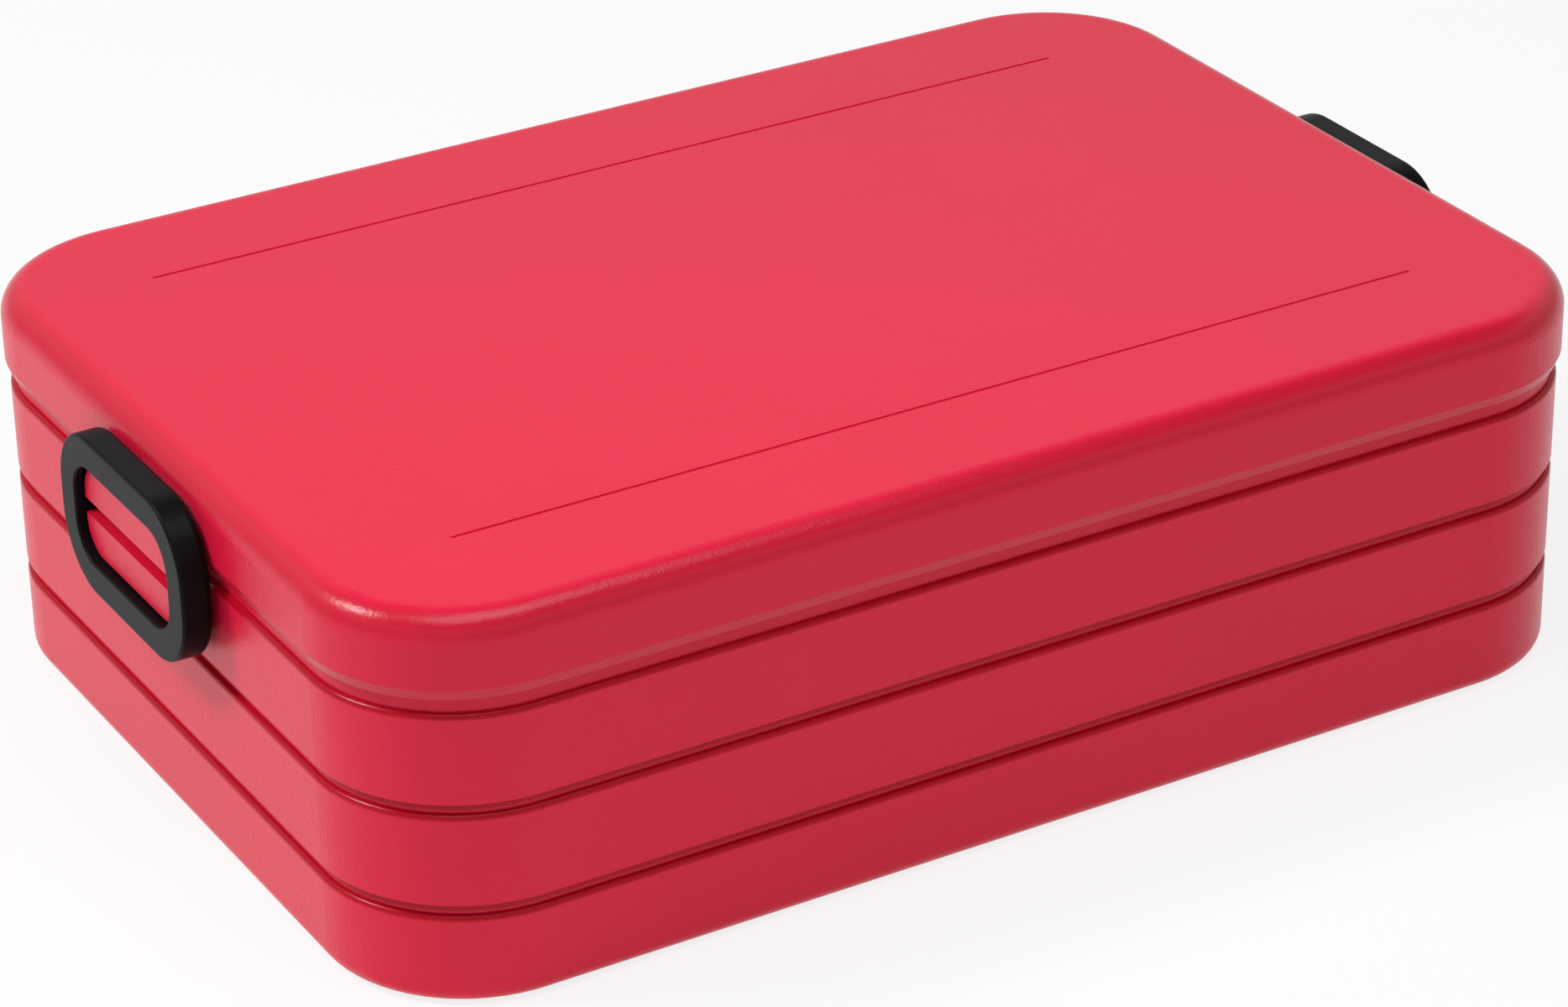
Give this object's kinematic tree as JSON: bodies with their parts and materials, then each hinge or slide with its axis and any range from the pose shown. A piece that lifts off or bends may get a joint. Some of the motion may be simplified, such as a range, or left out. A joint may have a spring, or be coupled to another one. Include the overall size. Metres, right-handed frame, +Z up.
{
  "type": "lunch box",
  "caption": "Rounded moulded plastic lunch box with banded sides, a lift-off lid held by a swing latch at each short end, and a lift-out tray inside.",
  "frame": {"origin": "centre of the box's footprint, on the surface that it stands on", "axes": "+X along the box's length towards the right-hand latch, -Y towards the long front, +Z up"},
  "size_m": [0.2682, 0.18, 0.0747],
  "materials": {
    "shell_red": "satin, finely textured moulded plastic",
    "latch_charcoal": "matte moulded plastic",
    "seal_clear": "soft matte silicone",
    "pin_steel": "plain drawn steel",
    "tray_white": "satin moulded plastic"
  },
  "bodies": {
    "base": {"base_shell": "shell_red"},
    "lid": {"lid_shell": "shell_red", "lid_seal": "seal_clear"},
    "left_latch": {"left_latch": "latch_charcoal", "left_hinge_pin": "pin_steel"},
    "right_latch": {"right_latch": "latch_charcoal", "right_hinge_pin": "pin_steel"},
    "tray": {"bento_tray": "tray_white"},
    "divider": {"tray_divider": "tray_white"}
  },
  "joints": [
    {"name": "lid_lift", "type": "slide", "parent": "base", "child": "lid", "axis": [0, 0, 1], "range_m": [0, 0.04]},
    {"name": "left_latch_hinge", "type": "hinge", "parent": "base", "child": "left_latch", "pos_m": [-0.1305, 0, 0.0426], "axis": [0, -1, 0], "range_deg": [0, 90]},
    {"name": "right_latch_hinge", "type": "hinge", "parent": "base", "child": "right_latch", "pos_m": [0.1305, 0, 0.0426], "axis": [0, 1, 0], "range_deg": [0, 90]},
    {"name": "tray_lift", "type": "slide", "parent": "base", "child": "tray", "axis": [0, 0, 1], "range_m": [0, 0.02]},
    {"name": "divider_lift", "type": "slide", "parent": "tray", "child": "divider", "axis": [0, 0, 1], "range_m": [0, 0.012]}
  ],
  "couplings": [
    {"joint": "left_latch_hinge", "follows": "lid_lift", "rad_per_m": 39.26},
    {"joint": "right_latch_hinge", "follows": "lid_lift", "rad_per_m": 39.26},
    {"joint": "tray_lift", "follows": "lid_lift", "ratio": 0.5},
    {"joint": "divider_lift", "follows": "lid_lift", "ratio": 0.3}
  ]
}
